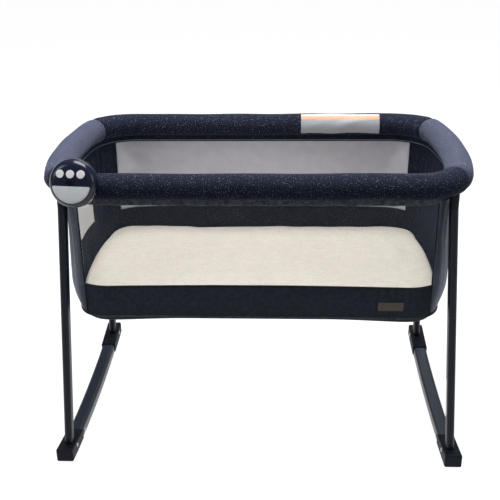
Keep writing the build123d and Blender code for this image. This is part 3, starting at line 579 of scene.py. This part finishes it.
def end_wall(g, q, end):
    """Left (-1) or right (1) wall: g runs from -1 to 1 between the two windows' seams."""
    z, inner_y, corner, big, start, bow = level(q)
    seam = np.arccos((window_half - start) / corner)
    half = big * bow + corner * (seam - bow)
    way = np.abs(g) * half
    on_end = way < big * bow
    angle = np.where(on_end, way / big, bow + (way - big * bow) / corner)
    x = np.where(on_end, end_x + big * np.cos(angle), start + corner * np.cos(angle))
    y = np.where(on_end, big * np.sin(angle), inner_y + corner * np.sin(angle))
    return np.stack([end * x, np.sign(g) * end * y, z + 0 * x], -1)


def outwards(points):
    """Unit normals of an open grid, from the cross product of its two directions."""
    normal = np.cross(np.gradient(points, axis=0), np.gradient(points, axis=1))
    return normal / np.linalg.norm(normal, axis=2, keepdims=True)


def pushed(points, amount):
    """A grid moved along its own normals."""
    return points + outwards(points) * amount[..., None]


print("the walls' height from seam to rail:", round(wall_top - bottom_seam, 3), "m")

# %% [markdown]
# **Bands and end walls.** Both are single pieces of cloth, cut to shape, sewn to the binding
# above and the bottom seam below. They hang from the rail, so the slack shows as shallow upright
# folds at the corners and as puckers along the seams.

# %% Cloth walls
def sewn(piece, node, thickness, lining=None):
    thicken(piece, thickness, lining)
    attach(piece, "basket_frame")
    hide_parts(node)


for side, word in ((-1, "front"), (1, "back")):
    x = np.linspace(-window_half, window_half, 260)[:, None] * -side
    share = np.linspace(0, 1, 40)[None, :]
    sill_q = q_of(sill_height(x, side))
    q = -1 + share * (sill_q + 1)
    slack = 0.0012 * waves(x, share, 0.22, 1.2) * np.sin(math.pi * share)
    pucker = 0.0005 * np.sin(full_turn * x / 0.011 + 2 * waves(x, x, 0.05, 0.05, 3)) * bell(share, 0.12)
    grid = pushed(side_wall(x, q, side), slack + pucker - 0.0002)
    band = surface(word + "_band_cloth", grid, band_cloth)
    sewn(band, word + "_band", 0.0024, lining_knit)

for end, word in ((-1, "left"), (1, "right")):
    g = np.linspace(-1, 1, 240)[:, None]
    q = np.linspace(-1, 1, 90)[None, :]
    corner = bell(np.abs(g) - 0.72, 0.16)
    folds = np.sin(full_turn * (g * 9.5 + 0.15 * q) + 1.2 * waves(g, q, 0.5, 1.0, 3))
    drape = 0.0022 * folds * corner * ramp(q, -0.5, 0.9) + 0.0018 * waves(g, q, 0.5, 1.4)
    seam = 0.0006 * np.sin(full_turn * q / 0.045) * bell(1 - np.abs(g), 0.05)
    hold = np.clip(np.minimum(1 - q, q + 1) * 6, 0, 1)
    grid = pushed(end_wall(g, q + 0 * g, end), drape * hold + seam)
    wall = surface(word + "_end_cloth", grid, end_cloth)
    sewn(wall, word + "_end_wall", 0.0024, lining_knit)

# %% [markdown]
# **Nets.** The net fills each window. It is stretched between the side seams, so it stays flat
# but for a few slack pulls that run slantwise from the window's upper corners.

# %% Nets
net_height = 0.2
for side, word, cloth in ((-1, "front", front_net_knit), (1, "back", painted_pale_back_net)):
    x = np.linspace(-window_half, window_half, 180)[:, None] * -side
    share = np.linspace(0, 1, 50)[None, :]
    sill_q = q_of(sill_height(x, side))
    q = sill_q + share * (1 - sill_q)
    below = (1 - share) * net_height
    from_corner = np.hypot(np.abs(x) - window_half, below)
    fan = np.arctan2(below, window_half - np.abs(x) + 0.01)
    pulls = 0.0016 * np.sin(fan * 9) * bell(from_corner - 0.07, 0.06)
    slack = 0.0015 * waves(x, share, 0.4, 1.0) * np.sin(math.pi * share)
    grid = pushed(side_wall(x, q, side), slack + pulls - 0.0012)
    veil = surface(word + "_net", grid, cloth)
    sewn(veil, word + "_mesh", 0.0006)

# %% [markdown]
# **Piping.** A thin corded edge runs down each window's sides and along its sill, and a thicker
# one closes the bottom seam. Each is a small circle carried along a line on the wall.

# %% Piping
def piping(name, grid, radius, material, lift=0.0, closed=False):
    """A cord along the first column of a wall grid, lifted along the wall's normal."""
    normal = outwards(grid)[:, 0]
    path = grid[:, 0] + normal * lift
    return surface(name, carried(path, normal, ring(radius), closed), material, wrap_u=closed,
                   wrap_v=True, cap_u=not closed)


column = np.array([[0.0, 0.002]])  # a line on a wall, and a second one that gives its direction
for side, word in ((-1, "front"), (1, "back")):
    for end, where in ((-1, "left"), (1, "right")):
        q = np.linspace(-1, 1, 120)[:, None] + 0 * column
        grid = side_wall(end * window_half + 0 * q + column * side * -1, q, side)
        cord = piping(f"{word}_{where}_window_piping", grid, 0.0017, dark_piping, 0.0004)
        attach(cord, "basket_frame")
    x = np.linspace(-window_half, window_half, 160)[:, None] * -side + 0 * column
    sill_q = q_of(sill_height(x, side))
    cord = piping(word + "_sill_piping", side_wall(x, sill_q + column, side), 0.0014, dark_piping, 0.0003)
    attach(cord, "basket_frame")


def oval(grow_end, grow_side, count=900, fuller=0.008):
    """A level line of the basket: the rail's oval grown by two amounts, and its normals.

    Fuller pushes the four corners out, as the basket's floor is squarer than its rail."""
    angle = np.linspace(0, rail_length, count, endpoint=False)
    line, out = rail_at(angle)
    shift = np.clip(line[:, :1] / corner_x, -1, 1) * (grow_end - grow_side)
    corner = (2 * np.abs(out[:, :1] * out[:, 1:])) ** 2
    place = line + out * (grow_side + fuller * corner) + shift * [1, 0]
    return place, out


seam_height, seam_radius = 0.3505, 0.0026
place, out = oval(-0.023, -0.013)
drop = 0.0022 * ramp(np.abs(place[:, 0]), 0.28, 0.39)
height = seam_height - drop + 0.0006 * waves(place[:, 0], place[:, 1], 0.2, 0.2)
path = np.column_stack([place, height])
normal = np.column_stack([out, np.zeros(len(out))])
cord = surface("bottom_seam_piping", carried(path, normal, ring(seam_radius, 14), True), piping_cloth,
               wrap_u=True, wrap_v=True)
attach(cord, "basket_frame")
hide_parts("bottom_piping")

# %% [markdown]
# **Underside.** A black cloth tray hangs below the bottom seam and holds the board. It is drawn
# as closed rings, from the middle of its upper face out over the rim and back in along the lower
# face, with the cloth hanging lowest near the ends.

# %% Underside
def tray_ring(inset, z, share=1.0, sag=0.0):
    """One ring of the tray: the bottom seam's oval drawn in, then shrunk by share."""
    place, _ = oval(-0.0255 - inset, -0.0155 - inset, 360)
    place = place * share
    low = sag * ramp(np.abs(place[:, 0]), 0.15, 0.36) * share
    return np.column_stack([place, np.full(len(place), z) - low])


tray_inset, tray_rim, tray_top, tray_bottom, tray_sag = 0.0145, 0.3515, 0.3421, 0.3390, 0.006
rows = [tray_ring(tray_inset, tray_top, share) for share in (0.1, 0.5, 0.9, 1.0)]
rows += [tray_ring(0.0025 + 0.012 * t, tray_rim - 0.0094 * t) for t in (0.6, 0.3, 0.0)]
rows += [tray_ring(0.0005 + 0.011 * t ** 2, tray_rim - 0.0125 * t, sag=tray_sag * t)
         for t in (0.0, 0.3, 0.6, 0.85, 1.0)]
rows += [tray_ring(tray_inset, tray_bottom, share, tray_sag) for share in (0.97, 0.9, 0.7, 0.4, 0.1)]
tray = surface("underside_cloth", np.stack(rows[::-1]), underside, wrap_v=True, cap_u=True)
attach(tray, "basket_frame")
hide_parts("floor_cloth")

# %% [markdown]
# ## Mattress
# A foam pad in a cream cotton cover. It is closed rings again: a flat bottom, a rolled edge, and
# a top that rises to a soft crown. The cover is a little too large, so it lies in long, shallow
# waves and pulls into creases at the right-hand end.

# %% Mattress
def cotton(name, dark, light):
    """Brushed cotton jersey: a soft nap with slow changes of shade."""
    material, tree, shader = new_material(name, Roughness=0.92, Sheen_Weight=0.25, Sheen_Roughness=0.6)
    base = shades(tree, noise(tree, 0.09, 8.0, Roughness=0.62), [(0.32, dark), (0.66, light)])
    tree.links.new(base, shader.inputs["Base Color"])
    bump(tree, shader, noise(tree, 0.003, 4.0, Roughness=0.7), 0.35, 0.0009)
    return material


def pad_ring(inset, z, share=1.0):
    """One ring of the pad at an inset from its edge, shrunk by share towards the middle."""
    place, _ = oval(-0.0255 - inset, -0.0197 - inset, 640, 0.010)
    return np.column_stack([place * share, np.full(len(place), z)])


foot, edge_half, mid = 0.3480, 0.0195, 0.3680
roll_turns = np.linspace(-quarter, quarter, 15)
rows = [pad_ring(0.016, foot, share) for share in (0.05, 0.4, 0.8, 1.0)]
rows += [pad_ring(0.0135 * (1 - math.cos(t)) + 0.001, mid + edge_half * math.sin(t)) for t in roll_turns]
rows += [pad_ring(0.0145, mid + edge_half + 0.0055 * (1 - share ** 4), share)
         for share in np.linspace(0.985, 0.02, 75)]
pad = np.stack(rows)
x, y = pad[..., 0], pad[..., 1]
top_only = ramp(pad[..., 2], mid + 0.006, mid + edge_half)
swell = 0.0014 * waves(x, y, 0.30, 0.22, 7) + 0.0007 * waves(x, y, 0.09, 0.13, 7)
swell = swell - 0.0022 * bell(y + 0.012 + 0.01 * np.sin(9 * x), 0.03)
swell = swell - 0.0016 * bell(x + 0.262 - 0.45 * y, 0.02)
fan = np.arctan2(y + 0.30, x - 0.16)
crease = 0.0016 * np.sin(fan * 34 + 3 * waves(x, y, 0.3, 0.3, 4))
crease = crease * bell(x - 0.34, 0.08) * bell(y - 0.02, 0.17)
pad[..., 2] += (swell + crease) * top_only
cream_cotton = cotton("brushed cream cotton", "#d0c9bd", "#dad3c7")
mattress = surface("mattress_cover", pad, cream_cotton, wrap_v=True, cap_u=True)
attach(mattress, "mattress")
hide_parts("mattress_pad")

# %% [markdown]
# ## Labels
# All labels are blank. The long one on the rail is woven satin with a hem, a band of colour and a
# plain grey body that has crumpled; a plain white one is sewn inside the left end wall, a brown
# imitation-leather patch sits on the front band, and a small silver sticker is on a leg.

# %% Label finishes
label_height = 0.0565


def banded(name, stops, roughness=0.45):
    """Satin label whose colour changes across its width, read from the UV map in metres."""
    material, tree, shader = new_material(name, Roughness=roughness, Sheen_Weight=0.2)
    spot = add(tree, "ShaderNodeSeparateXYZ", Vector=add(tree, "ShaderNodeTexCoord").outputs["UV"])
    height = add(tree, "ShaderNodeMapRange", Value=spot.outputs["Y"], From_Max=label_height)
    band = shades(tree, height.outputs["Result"], stops)
    shade = add(tree, "ShaderNodeMapRange", Value=noise(tree, 0.02, 5.0), To_Min=0.8, To_Max=1.15)
    tone = add(tree, "ShaderNodeHueSaturation", Color=band, Value=shade.outputs["Result"])
    tree.links.new(tone.outputs["Color"], shader.inputs["Base Color"])
    bump(tree, shader, noise(tree, 0.0015, 2.0, "UV"), 0.2, 0.0003)
    return material


label_satin = banded("woven satin label, white, orange and grey",
                     [(0.0, "#d9d6d1"), (0.10, "#d9d6d1"), (0.11, "#dc9b70"), (0.31, "#dc9b70"),
                      (0.32, "#a9acb6"), (0.93, "#9da0ab"), (0.94, "#d2d2d4")])
label_satin.node_tree.nodes["Color Ramp"].color_ramp.interpolation = "CONSTANT"
white_satin = banded("white satin label", [(0.0, "#d6d7da"), (1.0, "#e9e9ea")])
patch_hide = moulded("brown imitation leather", "#4b433c", 0.6, 0.0015, 0.5, 0.2)
silver_foil = moulded("silver foil sticker", "#c9cbd0", 0.3, 0.004, 0.05, 0.05, Metallic=0.4)

# %% Labels
label_start, label_stop, label_length = 0.098, 0.292, 0.194
x = np.linspace(label_start, label_stop, 90)[:, None]
turn = np.radians(np.linspace(107, 213, 40))[None, :]
middle = np.sin(math.pi * (x - label_start) / label_length)
crumple = 0.0009 * waves(x, turn, 0.05, 1.1, 8) * ramp(turn, 2.2, 2.8)
radius = sleeve_radius + 0.0013 + np.clip(crumple, -0.0006, 0.002)
radius = radius + 0.0007 * waves(x, turn, 0.09, 2.0, 4) * middle
grid = np.stack([x + 0 * turn, rail_half_width + radius * np.cos(turn),
                 rail_height + radius * np.sin(turn)], -1)
label = thicken(surface("rail_label_cloth", grid, label_satin), 0.0005)
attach(label, "basket_frame")
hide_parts("rail_label")


def wall_patch(name, first, second, wall, lift, material, node, thickness):
    """A small piece of cloth that follows a wall at a distance, over a range of two values."""
    u, v = np.linspace(*first, 40)[:, None], np.linspace(*second, 24)[None, :]
    grid = wall(u + 0 * v, v + 0 * u)
    grid = grid + outwards(grid) * lift
    piece = thicken(surface(name, grid, material), thickness)
    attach(piece, "basket_frame")
    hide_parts(node)


def q_below(z):
    """The q of a height below the belly."""
    return -math.asin((belly - z) / (belly - bottom_seam)) / quarter


wall_patch("band_patch_hide", (0.257, 0.311), (q_below(0.3710), q_below(0.3915)),
           lambda u, v: side_wall(u, v, -1), 0.0018, patch_hide, "band_patch", 0.0012)
u, v = np.linspace(0.092, -0.112, 60)[:, None], np.linspace(0.446, 0.560, 40)[None, :]
big = level(q_of(v))[3]
lift = 0.0012 * (1 + waves(u, v, 0.07, 0.09, 6)) * 0.8
inner_x = end_x + np.sqrt((big - 0.0046) ** 2 - u ** 2) - lift
grid = np.stack([-inner_x, u + 0 * v, v + 0 * u], -1)[::-1]
white_label = thicken(surface("wall_label_cloth", grid, white_satin), 0.0004)
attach(white_label, "basket_frame")
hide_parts("wall_label")

# %% [markdown]
# The leg's sticker is a flat foil on the inner side of the right front leg, so it follows the leg's
# slanted axis from the rail socket down to the foot.

# %% Leg sticker
leg_top, leg_foot = np.array([0.4026, -0.2069, 0.598]), np.array([0.430, -0.260, 0.050])
share = np.linspace(0.702, 0.863, 12)[:, None, None]
across = np.linspace(-0.0062, 0.0062, 5)[None, :, None]
axis_line = leg_top + share * (leg_foot - leg_top)
foil_grid = axis_line + across * np.array([0, 1, 0]) - np.array([0.0088, 0, 0])
foil = surface("leg_sticker_foil", foil_grid[::-1], silver_foil)
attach(foil, "right_stand")

# %% [markdown]
# ## Camera and light
# The camera was fitted to the four feet, the rail and the mattress in the photograph: a 60 mm
# lens 1.2 m above the floor, turned a little and tilted down by 24 degrees. Four large soft lamps
# light it from above and from three sides. The floor is a plain grey that adds white of its own
# for what the camera, a reflection or a clear piece sees, so that it shows as a white ground while
# the object's light stays plain and its shadow stays soft.

# %% Camera
lens_data = bpy.data.cameras.new("camera")
lens_data.lens = 59.76
lens_data.clip_end = 60
camera = bpy.data.objects.new("camera", lens_data)
bpy.context.scene.collection.objects.link(camera)
right = np.array([0.99913, 0.03977, -0.01226])
ahead = np.array([-0.04135, 0.91526, -0.40073])
right, ahead = right / np.linalg.norm(right), ahead / np.linalg.norm(ahead)
upward = np.cross(right, ahead)
turned = np.eye(4)
turned[:3, 0], turned[:3, 1], turned[:3, 2] = right, upward, -ahead
turned[:3, 3] = (0.05816, -1.80535, 1.20065)
camera.matrix_world = Matrix(turned.tolist())
bpy.context.scene.camera = camera
print("camera at", [round(v, 3) for v in camera.location])


# %% Floor and lamps
def lamp(name, place, target, size, power):
    """A square area lamp at a place, facing a target."""
    data = bpy.data.lights.new(name, "AREA")
    data.size, data.energy = size, power
    piece = bpy.data.objects.new(name, data)
    bpy.context.scene.collection.objects.link(piece)
    direction = Matrix.Translation(place).translation - Matrix.Translation(target).translation
    facing = direction.to_track_quat("Z", "Y").to_matrix().to_4x4()
    piece.matrix_world = Matrix.Translation(place) @ facing


lamp("ceiling lamp", (0.0, 0.1, 2.9), (0, 0, 0.3), 1.5, 88)
lamp("left lamp", (-2.3, -1.3, 1.9), (0, 0, 0.4), 1.2, 18)
lamp("right lamp", (2.4, -0.9, 1.7), (0, 0, 0.4), 1.2, 12)
lamp("back lamp", (0.2, 2.4, 2.2), (0, 0, 0.4), 1.6, 14)

world = bpy.data.worlds.new("world")
bpy.context.scene.world = world
world.use_nodes = True
tree = world.node_tree
path = add(tree, "ShaderNodeLightPath")
seen = maths(tree, "MAXIMUM", path.outputs["Is Camera Ray"], path.outputs["Is Transmission Ray"])
strength = add(tree, "ShaderNodeMapRange", Value=seen, To_Min=0.16, To_Max=1.0)
back = tree.nodes["Background"]
back.inputs["Color"].default_value = colour("#ffffff")
tree.links.new(strength.outputs["Result"], back.inputs["Strength"])

material, tree, shader = new_material("white studio floor", Roughness=0.9)
ground = shades(tree, noise(tree, 0.4, 2.0), [(0.3, "#7c7c7c"), (0.7, "#848484")])
tree.links.new(ground, shader.inputs["Base Color"])
path = add(tree, "ShaderNodeLightPath")
seen = maths(tree, "MAXIMUM", path.outputs["Is Camera Ray"], path.outputs["Is Glossy Ray"])
seen = maths(tree, "MAXIMUM", seen, path.outputs["Is Transmission Ray"])
glow = maths(tree, "MULTIPLY", seen, 0.94)
tree.links.new(glow, shader.inputs["Emission Strength"])
shader.inputs["Emission Color"].default_value = colour("#ffffff")
floor_half, floor_drop = 20.0, 0.0005
side = np.array([[-floor_half, floor_half]])
floor_grid = np.stack([side.T + 0 * side, side + 0 * side.T, 0 * side.T + 0 * side - floor_drop], -1)
surface("studio_floor", floor_grid, material)
bpy.context.scene.view_settings.view_transform = "Standard"
